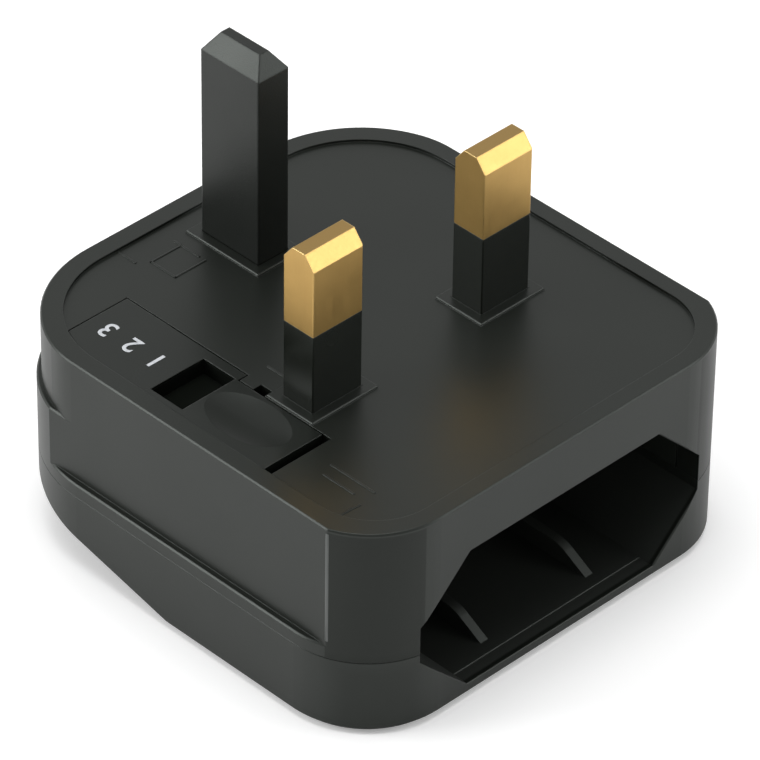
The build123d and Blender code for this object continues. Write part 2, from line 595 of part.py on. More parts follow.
def fuse_carrier():
    """Fuse carrier: a plate flush with the pin face, with skirts and end walls that hold the fuse below it."""
    solid = upright(carrier_plan(0.0), CARRIER_BOTTOM_Z, FLOOR_Z)
    tube_r = FUSE_D / 2 - FUSE_CAP_WALL
    skirt_low = FUSE_Z - CARRIER_SKIRT_DROP
    skirt_front = FUSE_FRONT_Y + FUSE_CAP_LENGTH + CARRIER_WALL
    skirt_rear = FUSE_REAR_Y - FUSE_CAP_LENGTH - CARRIER_WALL
    skirt_right = CARRIER_RIGHT - CARRIER_LEDGE - CARRIER_FIT
    skirt_left = CARRIER_SKIRT_FIT - INNER_X
    left_skirt = (skirt_left, FUSE_X - tube_r - CARRIER_SKIRT_FIT)
    right_skirt = (FUSE_X + tube_r + CARRIER_SKIRT_FIT, skirt_right)
    solid += block(left_skirt, (skirt_front, skirt_rear), (skirt_low, CARRIER_BOTTOM_Z))
    solid += block(right_skirt, (SHOULDER_Y + CARRIER_FIT, skirt_rear), (skirt_low, CARRIER_BOTTOM_Z))
    end_low = FUSE_Z - CARRIER_END_DROP
    end_x = (FUSE_X - tube_r, FUSE_X + tube_r)
    gap = CARRIER_FIT / 2
    solid += block(end_x, (FUSE_FRONT_Y - gap - CARRIER_WALL, FUSE_FRONT_Y - gap), (end_low, CARRIER_BOTTOM_Z))
    solid += block(end_x, (FUSE_REAR_Y + gap, FUSE_REAR_Y + gap + CARRIER_WALL), (end_low, CARRIER_BOTTOM_Z))
    pocket_y = (POCKET_Y, POCKET_Y + POCKET_LENGTH)
    pocket_low = FLOOR_Z - POCKET_DEPTH
    tray_rear = pocket_y[1] + CARRIER_WALL
    tray_z = (pocket_low - POCKET_FLOOR, CARRIER_BOTTOM_Z)
    solid += block((skirt_left, CARRIER_FRONT_RIGHT), (POCKET_Y - CARRIER_WALL, tray_rear), tray_z)
    solid += block((CARRIER_FRONT_RIGHT, skirt_right), (SHOULDER_Y + CARRIER_FIT, tray_rear), tray_z)
    solid -= block(POCKET_X, pocket_y, (pocket_low, BODY_HEIGHT))
    return solid - scoop()


def front_fuse_contact():
    """Strap riveted under the live pin, with a leaf turned down beside the front fuse cap."""
    right = -LINE_X + STRAP_WIDTH
    strap = block((LEAF_X, right), (LINE_Y - STRAP_WIDTH / 2, LINE_Y + STRAP_WIDTH / 2), (STRAP_Z, HEAD_Z))
    strap -= Pos(-LINE_X, LINE_Y) * upright(Circle(TENON_D / 2), STRAP_Z, HEAD_Z)
    leaf = block((LEAF_X, LEAF_X + LEAF_THICKNESS), (LINE_Y - STRAP_WIDTH / 2, LINE_Y + STRAP_WIDTH / 2),
                 (FUSE_Z - FRONT_LEAF_DROP, FUSE_Z + LEAF_RISE))
    return strap + leaf


def rear_fuse_contact():
    """Leaf beside the rear fuse cap, with a foot over the live contact's tab."""
    span = (REAR_LEAF_Y - LEAF_WIDTH / 2, REAR_LEAF_Y + LEAF_WIDTH / 2)
    leaf = block((LEAF_X, LEAF_X + LEAF_THICKNESS), span, (DECK_Z, FUSE_Z + LEAF_RISE))
    foot_y = (min(span[0], TAB_Y - TAB_LENGTH / 2), max(span[1], TAB_Y + TAB_LENGTH / 2))
    foot = block((LEAF_X, -CONTACT_X + TAB_WIDTH), foot_y, (DECK_Z, DECK_Z + STRAP_THICKNESS))
    return leaf + foot


def neutral_strap():
    """Strip from under the neutral pin, down to a foot over the neutral contact's tab."""
    side = (LINE_X - STRAP_WIDTH / 2, LINE_X + STRAP_WIDTH / 2)
    knee = TAB_Y - TAB_LENGTH
    run = block(side, (LINE_Y - STRAP_WIDTH / 2, knee + STRAP_THICKNESS), (STRAP_Z, HEAD_Z))
    run -= Pos(LINE_X, LINE_Y) * upright(Circle(TENON_D / 2), STRAP_Z, HEAD_Z)
    leg = block(side, (knee, knee + STRAP_THICKNESS), (DECK_Z, HEAD_Z))
    foot_x = (CONTACT_X - TAB_WIDTH, side[1])
    foot = block(foot_x, (knee, TAB_Y + TAB_LENGTH / 2), (DECK_Z, DECK_Z + STRAP_THICKNESS))
    return run + leg + foot


def round_contact():
    """Split brass sleeve for a round plug pin, with a tab up to its strap."""
    ring = Circle(CONTACT_OD / 2) - Circle(CONTACT_BORE / 2)
    ring -= Pos(0, -CONTACT_OD / 2) * Rectangle(CONTACT_SLIT, CONTACT_OD)
    tube = along_y(Pos(0, SOCKET_Z) * ring, CONTACT_Y, CONTACT_END_Y)
    root_z = SOCKET_Z + CONTACT_BORE / 2 + CONTACT_WALL / 2
    tab = block((-TAB_WIDTH / 2, TAB_WIDTH / 2), (CONTACT_END_Y - TAB_LENGTH, CONTACT_END_Y), (root_z, DECK_Z))
    return tube + tab


def contact_spring():
    """Open steel band that closes the split sleeve."""
    inside = CONTACT_OD / 2 + FUSE_TUBE_FIT
    band = Circle(CONTACT_OD / 2 + SPRING_WALL) - Circle(inside)
    band -= Pos(0, -CONTACT_OD / 2) * Rectangle(SPRING_GAP, CONTACT_OD)
    front = CONTACT_Y + SPRING_LENGTH / 2
    return along_y(Pos(0, SOCKET_Z) * band, front, front + SPRING_LENGTH)


def cover_screws():
    """Two cross-head screws, heads sunk in the back."""
    head = upright(Circle(SCREW_HEAD_D / 2), SCREW_SUNK, SCREW_HEAD_TOP_Z)
    cross_span = SCREW_HEAD_D * 0.62
    for size in ((cross_span, SCREW_CROSS_WIDTH), (SCREW_CROSS_WIDTH, cross_span)):
        head -= upright(Rectangle(*size), SCREW_SUNK, SCREW_SUNK + SCREW_CROSS_DEPTH)
    shank = upright(Circle(SCREW_D / 2), SCREW_HEAD_TOP_Z, SCREW_HEAD_TOP_Z + SCREW_LENGTH)
    return Compound(children=[site * (head + shank) for site in screw_sites()])


def pieces():
    """Every piece of the adapter by its node name."""
    live = Pos(-LINE_X, LINE_Y)
    neutral = Pos(LINE_X, LINE_Y)
    return {
        "base_housing": base_housing(),
        "back_cover": back_cover(),
        "chamber_liner": chamber_liner(),
        "contact_holder": contact_holder(),
        "live_pin": live * line_pin(),
        "neutral_pin": neutral * line_pin(),
        "live_sleeve": live * line_sleeve(),
        "neutral_sleeve": neutral * line_sleeve(),
        "earth_pin": earth_pin(),
        "fuse_carrier": fuse_carrier(),
        "fuse_body": fuse_body(),
        "fuse_cap_front": fuse_cap(FUSE_FRONT_Y, FUSE_FRONT_Y + FUSE_CAP_LENGTH),
        "fuse_cap_rear": fuse_cap(FUSE_REAR_Y, FUSE_REAR_Y - FUSE_CAP_LENGTH),
        "front_fuse_contact": front_fuse_contact(),
        "rear_fuse_contact": rear_fuse_contact(),
        "neutral_strap": neutral_strap(),
        "live_contact": Pos(-CONTACT_X) * round_contact(),
        "neutral_contact": Pos(CONTACT_X) * round_contact(),
        "live_contact_spring": Pos(-CONTACT_X) * contact_spring(),
        "neutral_contact_spring": Pos(CONTACT_X) * contact_spring(),
        "cover_screws": cover_screws(),
    }


os.makedirs("parts", exist_ok=True)
for name, piece in pieces().items():
    export_step(piece, f"parts/{name}.step")
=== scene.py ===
"""Looks of a black plug adapter with brass line pins, standing pins up on a pale studio floor."""

import logging
import math
from dataclasses import dataclass, field
from enum import Enum
from typing import Protocol

import bmesh
import bpy
from mathutils import Matrix, Vector

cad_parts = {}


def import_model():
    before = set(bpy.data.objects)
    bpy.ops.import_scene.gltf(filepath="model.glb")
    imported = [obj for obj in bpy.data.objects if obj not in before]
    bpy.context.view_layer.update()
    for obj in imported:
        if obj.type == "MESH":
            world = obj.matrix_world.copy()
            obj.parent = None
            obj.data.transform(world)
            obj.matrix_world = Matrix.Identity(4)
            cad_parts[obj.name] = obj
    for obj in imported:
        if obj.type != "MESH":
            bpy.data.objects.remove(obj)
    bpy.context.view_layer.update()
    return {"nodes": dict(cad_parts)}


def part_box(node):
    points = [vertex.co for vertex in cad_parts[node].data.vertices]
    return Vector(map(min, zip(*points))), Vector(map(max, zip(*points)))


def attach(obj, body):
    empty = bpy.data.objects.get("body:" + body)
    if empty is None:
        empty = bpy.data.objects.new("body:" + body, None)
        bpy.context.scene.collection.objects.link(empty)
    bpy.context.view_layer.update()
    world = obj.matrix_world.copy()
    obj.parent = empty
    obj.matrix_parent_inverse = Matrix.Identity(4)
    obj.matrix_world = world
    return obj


LOG = logging.getLogger("plug_adapter")
MM = 0.001

Rgb = tuple[float, float, float]
Point2 = tuple[float, float]
Point3 = tuple[float, float, float]
Stroke = tuple[Point2, Point2]
Socket = bpy.types.NodeSocket
Ring = list[bmesh.types.BMVert]


class Body(str, Enum):
    """Bodies of the adapter that added pieces ride on."""

    HOUSING = "housing"
    CARRIER = "carrier"


class Lay(Enum):
    """Direction of the fine lines that a tool leaves on metal, as stretch factors of the noise."""

    ALONG_X = (0.04, 1.0, 1.0)
    ALONG_Y = (1.0, 0.04, 1.0)
    ALONG_Z = (1.0, 1.0, 0.04)


class Board:
    """Node tree with short ways to add and link nodes."""

    def __init__(self, tree: bpy.types.NodeTree) -> None:
        """Empties the tree.

        Args:
            tree: Node tree of a material or of the world.
        """
        self.tree = tree
        self.tree.nodes.clear()

    def add(self, kind: str, **values: object) -> bpy.types.Node:
        """Adds a node and sets its sockets or properties by name.

        Args:
            kind: Blender's identifier of the node.
            values: Socket values, with underscores for spaces, or node properties in lower case.

        Returns:
            The new node.
        """
        node = self.tree.nodes.new(kind)
        for name, value in values.items():
            socket = node.inputs.get(name.replace("_", " "))
            if socket is not None:
                socket.default_value = value
            else:
                setattr(node, name, value)
        return node

    def link(self, source: Socket, target: Socket) -> None:
        """Links an output to an input."""
        self.tree.links.new(source, target)

    def spread(self, value: Socket, seen: Point2, wanted: Point2 = (0.0, 1.0)) -> Socket:
        """Maps a value from one range to another and clamps it.

        Args:
            value: Value to map.
            seen: Range of the value.
            wanted: Range to map it to.

        Returns:
            The mapped value.
        """
        node = self.add("ShaderNodeMapRange")
        node.inputs["From Min"].default_value = seen[0]
        node.inputs["From Max"].default_value = seen[1]
        node.inputs["To Min"].default_value = wanted[0]
        node.inputs["To Max"].default_value = wanted[1]
        self.link(value, node.inputs["Value"])
        return node.outputs["Result"]


class NodeBoard(Board):
    """Node tree of one material, with the patterns and marks that the finishes share."""

    NOISE_FALLOFF = 0.55
    BEVEL_SAMPLES = 4
    EDGE_COSINES = (0.99, 0.80)
    LEVEL_COSINES = (0.97, 0.995)
    MIX_FACTOR = 0
    MIX_FIRST = 6
    MIX_SECOND = 7
    MIX_TONE = 2

    def __init__(self, name: str) -> None:
        """Starts an empty material with a principled shader.

        Args:
            name: Name of the material.
        """
        self.material = bpy.data.materials.new(name)
        self.material.use_nodes = True
        super().__init__(self.material.node_tree)
        output = self.add("ShaderNodeOutputMaterial")
        self.shader = self.add("ShaderNodeBsdfPrincipled")
        self.link(self.shader.outputs["BSDF"], output.inputs["Surface"])

    def place(self) -> Socket:
        """Position in the adapter's own frame, in metres."""
        return self.add("ShaderNodeTexCoord").outputs["Object"]

    def within(self, low: Point3, high: Point3, border: float) -> Socket:
        """Marks a box in the adapter's frame, with a soft border.

        Args:
            low: Lower corner in metres.
            high: Upper corner in metres.
            border: Width over which the mark fades in, in metres.

        Returns:
            One inside the box, zero outside.
        """
        middle = tuple((a + b) / 2 for a, b in zip(low, high))
        half = tuple((b - a) / 2 for a, b in zip(low, high))
        offset = self.add("ShaderNodeVectorMath", operation="SUBTRACT")
        offset.inputs[1].default_value = middle
        self.link(self.place(), offset.inputs[0])
        away = self.add("ShaderNodeVectorMath", operation="ABSOLUTE")
        self.link(offset.outputs["Vector"], away.inputs[0])
        left = self.add("ShaderNodeVectorMath", operation="SUBTRACT")
        left.inputs[0].default_value = half
        self.link(away.outputs["Vector"], left.inputs[1])
        split = self.add("ShaderNodeSeparateXYZ")
        self.link(left.outputs["Vector"], split.inputs["Vector"])
        plan = self.add("ShaderNodeMath", operation="MINIMUM")
        self.link(split.outputs["X"], plan.inputs[0])
        self.link(split.outputs["Y"], plan.inputs[1])
        least = self.add("ShaderNodeMath", operation="MINIMUM")
        self.link(plan.outputs[0], least.inputs[0])
        self.link(split.outputs["Z"], least.inputs[1])
        return self.spread(least.outputs[0], (0.0, border))

    def noise(self, per_metre: float, detail: float, stretch: Point3 = (1.0, 1.0, 1.0)) -> Socket:
        """Fine irregular pattern over the surface.

        Args:
            per_metre: Cells per metre.
            detail: Octaves of finer pattern.
            stretch: Factors on X, Y and Z, small along the lines of a stretched pattern.

        Returns:
            The pattern's value, from 0 to 1.
        """
        mapping = self.add("ShaderNodeMapping", Scale=stretch)
        self.link(self.place(), mapping.inputs["Vector"])
        noise = self.add("ShaderNodeTexNoise", Scale=per_metre, Detail=detail, Roughness=self.NOISE_FALLOFF)
        self.link(mapping.outputs["Vector"], noise.inputs["Vector"])
        return noise.outputs["Fac"]

    def rounded(self, radius: float) -> Socket:
        """Normal that turns softly over each edge, as a small moulded or tumbled radius does.

        Args:
            radius: Radius of the softened edge in metres.

        Returns:
            The softened normal.
        """
        return self.add("ShaderNodeBevel", samples=self.BEVEL_SAMPLES, Radius=radius).outputs["Normal"]

    def edge(self, rounded: Socket) -> Socket:
        """Marks the edges of the surface, where handling polishes it.

        Args:
            rounded: Normal that turns softly over each edge.

        Returns:
            One on an edge, zero on the flats.
        """
        facing = self.add("ShaderNodeVectorMath", operation="DOT_PRODUCT")
        self.link(rounded, facing.inputs[0])
        self.link(self.add("ShaderNodeNewGeometry").outputs["Normal"], facing.inputs[1])
        return self.spread(facing.outputs["Value"], self.EDGE_COSINES)

    def upward(self) -> Socket:
        """Marks the level surfaces.

        Returns:
            One where the surface faces straight up, zero where it slopes.
        """
        split = self.add("ShaderNodeSeparateXYZ")
        self.link(self.add("ShaderNodeNewGeometry").outputs["Normal"], split.inputs["Vector"])
        return self.spread(split.outputs["Z"], self.LEVEL_COSINES)

    def blend(self, share: Socket, low: Rgb | Socket, high: Rgb) -> Socket:
        """Mixes two tones.

        Args:
            share: Share of the second tone.
            low: First tone, or a socket that gives it.
            high: Second tone.

        Returns:
            The mixed tone.
        """
        mix = self.add("ShaderNodeMix", data_type="RGBA")
        self.link(share, mix.inputs[self.MIX_FACTOR])
        if isinstance(low, tuple):
            mix.inputs[self.MIX_FIRST].default_value = (*low, 1.0)
        else:
            self.link(low, mix.inputs[self.MIX_FIRST])
        mix.inputs[self.MIX_SECOND].default_value = (*high, 1.0)
        return mix.outputs[self.MIX_TONE]

    def tint(self, tone: Socket) -> None:
        """Colours the surface."""
        self.link(tone, self.shader.inputs["Base Color"])

    def relief(self, height: Socket, depth: float, below: Socket | None = None) -> None:
        """Bumps the surface by a height pattern.

        Args:
            height: Pattern from 0 to 1.
            depth: Height of the pattern in metres.
            below: Normal of the surface under the pattern, where it isn't the plain one.
        """
        bump = self.add("ShaderNodeBump", Strength=1.0, Distance=depth)
        self.link(height, bump.inputs["Height"])
        if below is not None:
            self.link(below, bump.inputs["Normal"])
        self.link(bump.outputs["Normal"], self.shader.inputs["Normal"])


class Finish(Protocol):
    """Anything that can make its own material."""

    @property
    def name(self) -> str:
        """Name of the material."""

    def material(self) -> bpy.types.Material:
        """Builds the material."""


SOFT_NOISE = (0.35, 0.65)
WIDE_NOISE = (0.30, 0.70)
THIN_NOISE = (0.30, 0.55)


@dataclass(frozen=True)
class PaintedLightPatch:
    """Box round a hollow or a corner of a moulding, where a changed roughness and specular level paint light
    or shade on the plastic.
    """

    low: Point3
    high: Point3
    roughness: float
    specular: float
    border: float = 0.2 * MM


@dataclass(frozen=True)
class MouldedPlastic:
    """Moulded plastic: two close tones, edges polished by handling, uneven gloss, a fine grain, and boxes of
    painted light and shade.
    """

    name: str
    dark: Rgb
    light: Rgb
    worn: Rgb
    roughness: Point2
    grain_per_m: float
    grain_depth: float
    edge_radius: float = 0.12 * MM
    specular: float = 0.5
    sheen: Rgb = (0.93, 1.0, 0.945)
    cloud_per_m: float = 90.0
    smear_per_m: float = 60.0
    patches: tuple[PaintedLightPatch, ...] = ()

    def material(self) -> bpy.types.Material:
        """Builds the plastic.

        Returns:
            The material.
        """
        board = NodeBoard(self.name)
        board.shader.inputs["Specular IOR Level"].default_value = self.specular
        board.shader.inputs["Specular Tint"].default_value = (*self.sheen, 1.0)
        rounded = board.rounded(self.edge_radius)
        cloud = board.spread(board.noise(self.cloud_per_m, detail=3.0), SOFT_NOISE)
        body = board.blend(cloud, self.dark, self.light)
        board.tint(board.blend(board.edge(rounded), body, self.worn))
        gloss = board.spread(board.noise(self.smear_per_m, detail=2.0), WIDE_NOISE, self.roughness)
        board.link(self.painted_light(board, gloss), board.shader.inputs["Roughness"])
        board.relief(board.noise(self.grain_per_m, detail=1.0), self.grain_depth, rounded)
        return board.material

    def painted_light(self, board: NodeBoard, gloss: Socket) -> Socket:
        """Changes roughness and specular level inside each patch, where there are any: painted light in the
        chamber, painted shade in the pocket and at the front corners.

        Args:
            board: Node tree of the plastic.
            gloss: Roughness of the open surface.

        Returns:
            Roughness of the whole surface.
        """
        level = None
        for patch in self.patches:
            inside = board.within(patch.low, patch.high, patch.border)
            coarse = board.add("ShaderNodeMath", operation="MAXIMUM")
            board.link(gloss, coarse.inputs[0])
            board.link(board.spread(inside, (0.0, 1.0), (0.0, patch.roughness)), coarse.inputs[1])
            gloss = coarse.outputs[0]
            # Specular level inside the patch: painted light where it rises, painted shade where it falls.
            shift = board.add("ShaderNodeMath", operation="MULTIPLY_ADD")
            board.link(inside, shift.inputs[0])
            shift.inputs[1].default_value = patch.specular - self.specular
            shift.inputs[2].default_value = self.specular
            if level:
                board.link(level, shift.inputs[2])
            level = shift.outputs[0]
        if level:
            board.link(level, board.shader.inputs["Specular IOR Level"])
        return gloss


@dataclass(frozen=True)
class WorkedMetal:
    """Metal with the fine lines of a tool, brighter rubbed edges, an uneven tone and uneven gloss."""

    name: str
    dark: Rgb
    light: Rgb
    worn: Rgb
    roughness: Point2
    lay: Lay
    line_per_m: float = 9000.0
    line_depth: float = 0.8e-6
    edge_radius: float = 0.14 * MM
    mottle_per_m: float = 420.0
    top_face_tone: Rgb | None = None

    def material(self) -> bpy.types.Material:
        """Builds the metal.

        Returns:
            The material.
        """
        board = NodeBoard(self.name)
        board.shader.inputs["Metallic"].default_value = 1.0
        rounded = board.rounded(self.edge_radius)
        mottle = board.spread(board.noise(self.mottle_per_m, detail=4.0), WIDE_NOISE)
        body = board.blend(mottle, self.dark, self.light)
        # Faces that point straight up, the pin tips, take a darker tone.
        if self.top_face_tone:
            body = board.blend(board.upward(), body, self.top_face_tone)
        board.tint(board.blend(board.edge(rounded), body, self.worn))
        lines = board.noise(self.line_per_m, detail=3.0, stretch=self.lay.value)
        board.link(board.spread(lines, WIDE_NOISE, self.roughness), board.shader.inputs["Roughness"])
        board.relief(lines, self.line_depth, rounded)
        return board.material


@dataclass(frozen=True)
class FiredCeramic:
    """Unglazed fuse tube: chalky, with faint grains."""

    name: str
    dark: Rgb
    light: Rgb
    roughness: float = 0.75
    grain_per_m: float = 2600.0
    grain_depth: float = 6.0e-6

    def material(self) -> bpy.types.Material:
        """Builds the ceramic.

        Returns:
            The material.
        """
        board = NodeBoard(self.name)
        board.shader.inputs["Roughness"].default_value = self.roughness
        grains = board.noise(self.grain_per_m, detail=4.0)
        board.tint(board.blend(board.spread(grains, SOFT_NOISE), self.dark, self.light))
        board.relief(grains, self.grain_depth)
        return board.material


@dataclass(frozen=True)
class PadPrint:
    """Pale pad print, a little thin in places."""

    name: str
    dark: Rgb
    light: Rgb
    roughness: float = 0.55
    thin_per_m: float = 3000.0

    def material(self) -> bpy.types.Material:
        """Builds the print.

        Returns:
            The material.
        """
        board = NodeBoard(self.name)
        board.shader.inputs["Roughness"].default_value = self.roughness
        cover = board.spread(board.noise(self.thin_per_m, detail=3.0), THIN_NOISE)
        board.tint(board.blend(cover, self.dark, self.light))
        return board.material


# Painted light: a higher specular level brightens the reflections inside the mouth's chamber.
CHAMBER_PAINTED_LIGHT = PaintedLightPatch(
    low=(-18.8 * MM, -26.3 * MM, 1.2 * MM),
    high=(18.8 * MM, 0.0, 17.8 * MM),
    roughness=0.52,
    specular=1.0,
)
# Painted shade: a near-zero specular level and full roughness darken the fuse carrier's pocket to black.
POCKET_PAINTED_SHADE = PaintedLightPatch(
    low=(-22.6 * MM, 1.4 * MM, 21.0 * MM),
    high=(-15.4 * MM, 6.1 * MM, 23.35 * MM),
    roughness=0.95,
    specular=0.03,
)
# Painted shade: a lower specular level darkens the rounded front corners of the base and the cover.
BASE_CORNER_SHADE = tuple(
    PaintedLightPatch(
        low=(left * MM, -27.0 * MM, 8.6 * MM),
        high=(right * MM, -20.6 * MM, 23.5 * MM),
        roughness=0.34,
        specular=0.33,
        border=0.1 * MM,
    )
    for left, right in ((-27.0, -18.2), (18.2, 27.0))
)
COVER_CORNER_SHADE = tuple(
    PaintedLightPatch(
        low=(left * MM, -30.0 * MM, -3.0 * MM),
        high=(right * MM, -20.0 * MM, 9.6 * MM),
        roughness=0.34,
        specular=0.40,
        border=2.5 * MM,
    )
    for left, right in ((-30.0, -17.2), (17.2, 30.0))
)

HOUSING_FINISH = MouldedPlastic(
    name="housing_plastic",
    dark=(0.0046, 0.0056, 0.0042),
    light=(0.0056, 0.0068, 0.0052),
    worn=(0.0080, 0.0090, 0.0078),
    roughness=(0.34, 0.40),
    grain_per_m=5200.0,
    grain_depth=4.0e-6,
    patches=(CHAMBER_PAINTED_LIGHT, *BASE_CORNER_SHADE, *COVER_CORNER_SHADE),
)
CARRIER_FINISH = MouldedPlastic(
    name="carrier_plastic",
    dark=(0.0044, 0.0054, 0.0042),
    light=(0.0054, 0.0066, 0.0052),
    worn=(0.0080, 0.0090, 0.0078),
    roughness=(0.26, 0.32),
    grain_per_m=5200.0,
    grain_depth=2.5e-6,
    patches=(POCKET_PAINTED_SHADE,),
)
LINER_FINISH = MouldedPlastic(
    name="liner_plastic",
    dark=(0.0040, 0.0052, 0.0036),
    light=(0.0052, 0.0066, 0.0046),
    worn=(0.0060, 0.0072, 0.0056),
    roughness=(0.66, 0.76),
    grain_per_m=4200.0,
    grain_depth=1.5e-6,
    specular=0.22,
)
SLEEVE_FINISH = MouldedPlastic(
    name="sleeve_plastic",
    dark=(0.0044, 0.0054, 0.0036),
    light=(0.0056, 0.0068, 0.0046),
    worn=(0.0240, 0.0260, 0.0225),
    roughness=(0.20, 0.28),
    grain_per_m=1500.0,
    grain_depth=0.9e-6,
    edge_radius=0.14 * MM,
)
EARTH_FINISH = MouldedPlastic(
    name="earth_plastic",
    dark=(0.0032, 0.0039, 0.0029),
    light=(0.0061, 0.0070, 0.0057),
    worn=(0.0180, 0.0185, 0.0185),
    roughness=(0.32, 0.44),
    grain_per_m=7800.0,
    grain_depth=15.0e-6,
    edge_radius=0.25 * MM,
    specular=0.44,
)
# Pale plastic of the grip beads: a painted highlight, far lighter than the housing.
EDGE_HIGHLIGHT_FINISH = MouldedPlastic(
    name="painted_edge_highlight",
    dark=(0.075, 0.079, 0.077),
    light=(0.100, 0.104, 0.102),
    worn=(0.110, 0.114, 0.112),
    roughness=(0.30, 0.40),
    grain_per_m=5200.0,
    grain_depth=0.6e-6,
)
PIN_FINISH = WorkedMetal(
    name="pin_brass",
    dark=(0.60, 0.380, 0.128),
    light=(0.64, 0.410, 0.140),
    worn=(0.78, 0.60, 0.28),
    roughness=(0.32, 0.42),
    lay=Lay.ALONG_Z,
    top_face_tone=(0.42, 0.275, 0.100),
)
STRAP_FINISH = WorkedMetal(
    name="strap_brass",
    dark=(0.54, 0.39, 0.17),
    light=(0.64, 0.47, 0.22),
    worn=(0.76, 0.58, 0.30),
    roughness=(0.28, 0.40),
    lay=Lay.ALONG_Y,
)
CAP_FINISH = WorkedMetal(
    name="plated_cap",
    dark=(0.66, 0.66, 0.64),
    light=(0.76, 0.76, 0.74),
    worn=(0.82, 0.82, 0.81),
    roughness=(0.20, 0.32),
    lay=Lay.ALONG_X,
)
STEEL_FINISH = WorkedMetal(
    name="spring_steel",
    dark=(0.50, 0.50, 0.50),
    light=(0.62, 0.62, 0.62),
    worn=(0.74, 0.74, 0.74),
    roughness=(0.26, 0.38),
    lay=Lay.ALONG_Y,
)
CERAMIC_FINISH = FiredCeramic("fuse_ceramic", dark=(0.74, 0.72, 0.66), light=(0.84, 0.82, 0.77))
PRINT_FINISH = PadPrint("carrier_print", dark=(0.40, 0.42, 0.45), light=(0.58, 0.60, 0.63))

NODE_FINISHES: dict[str, Finish] = {
    "base_housing": HOUSING_FINISH,
    "back_cover": HOUSING_FINISH,
    "chamber_liner": LINER_FINISH,
    "contact_holder": LINER_FINISH,
    "live_pin": PIN_FINISH,
    "neutral_pin": PIN_FINISH,
    "live_sleeve": SLEEVE_FINISH,
    "neutral_sleeve": SLEEVE_FINISH,
    "earth_pin": EARTH_FINISH,
    "fuse_carrier": CARRIER_FINISH,
    "fuse_body": CERAMIC_FINISH,
    "fuse_cap_front": CAP_FINISH,
    "fuse_cap_rear": CAP_FINISH,
    "front_fuse_contact": STRAP_FINISH,
    "rear_fuse_contact": STRAP_FINISH,
    "neutral_strap": STRAP_FINISH,
    "live_contact": STRAP_FINISH,
    "neutral_contact": STRAP_FINISH,
    "live_contact_spring": STEEL_FINISH,
    "neutral_contact_spring": STEEL_FINISH,
    "cover_screws": STEEL_FINISH,
}


class FinishShelf:
    """Materials already made, one for each finish."""

    def __init__(self) -> None:
        """Starts with no materials."""
        self.made: dict[str, bpy.types.Material] = {}

    def take(self, finish: Finish) -> bpy.types.Material:
        """Gives the material of a finish, made once.

        Args:
            finish: Finish to look up.

        Returns:
            Its material.
        """
        if finish.name not in self.made:
            self.made[finish.name] = finish.material()
        return self.made[finish.name]

    def dress(self, piece: bpy.types.Object, finish: Finish) -> None:
        """Puts a finish on a whole piece."""
        piece.data.materials.clear()
        piece.data.materials.append(self.take(finish))


def link_mesh(name: str, data: bpy.types.Mesh) -> bpy.types.Object:
    """Puts a mesh into the scene.

    Args:
        name: Name of the new piece.
        data: Its mesh.

    Returns:
        The piece.
    """
    piece = bpy.data.objects.new(name, data)
    bpy.context.scene.collection.objects.link(piece)
    return piece


def settle(name: str, mesh: bmesh.types.BMesh) -> bpy.types.Object:
    """Turns a mesh that was being built into a piece of the scene.

    Args:
        name: Name of the piece and of its mesh.
        mesh: Mesh being built, which is freed.

    Returns:
        The piece.
    """
    data = bpy.data.meshes.new(name)
    mesh.to_mesh(data)
    mesh.free()
    return link_mesh(name, data)


def close_rings(mesh: bmesh.types.BMesh, rings: list[Ring]) -> None:
    """Walls a stack of rings and caps both of its ends.

    Args:
        mesh: Mesh being built.
        rings: Rings of as many points each, from the lowest up.
    """
    for lower, upper in zip(rings, rings[1:]):
        for k in range(len(lower)):
            after = (k + 1) % len(lower)
            mesh.faces.new((lower[k], lower[after], upper[after], upper[k]))
    mesh.faces.new(rings[-1])
    mesh.faces.new(list(reversed(rings[0])))


def join_meshes(name: str, parts: list[bpy.types.Object]) -> bpy.types.Object:
    """Joins several pieces into one mesh and removes them.

    Args:
        name: Name of the joined piece.
        parts: Pieces with their places in their vertices.

    Returns:
        The joined piece.
    """
    joined = bmesh.new()
    for part in parts:
        joined.from_mesh(part.data)
    for part in parts:
        bpy.data.objects.remove(part)
    return settle(name, joined)


@dataclass
class CastPieces:
    """Pieces of the adapter that the frame brings, each dressed in its finish."""

    shelf: FinishShelf

    def dress(self, nodes: dict[str, bpy.types.Object]) -> None:
        """Dresses every node.

        Args:
            nodes: Pieces of the frame by name.
        """
        for name, piece in sorted(nodes.items()):
            self.shelf.dress(piece, NODE_FINISHES[name])
            LOG.info("dressed %s", name)


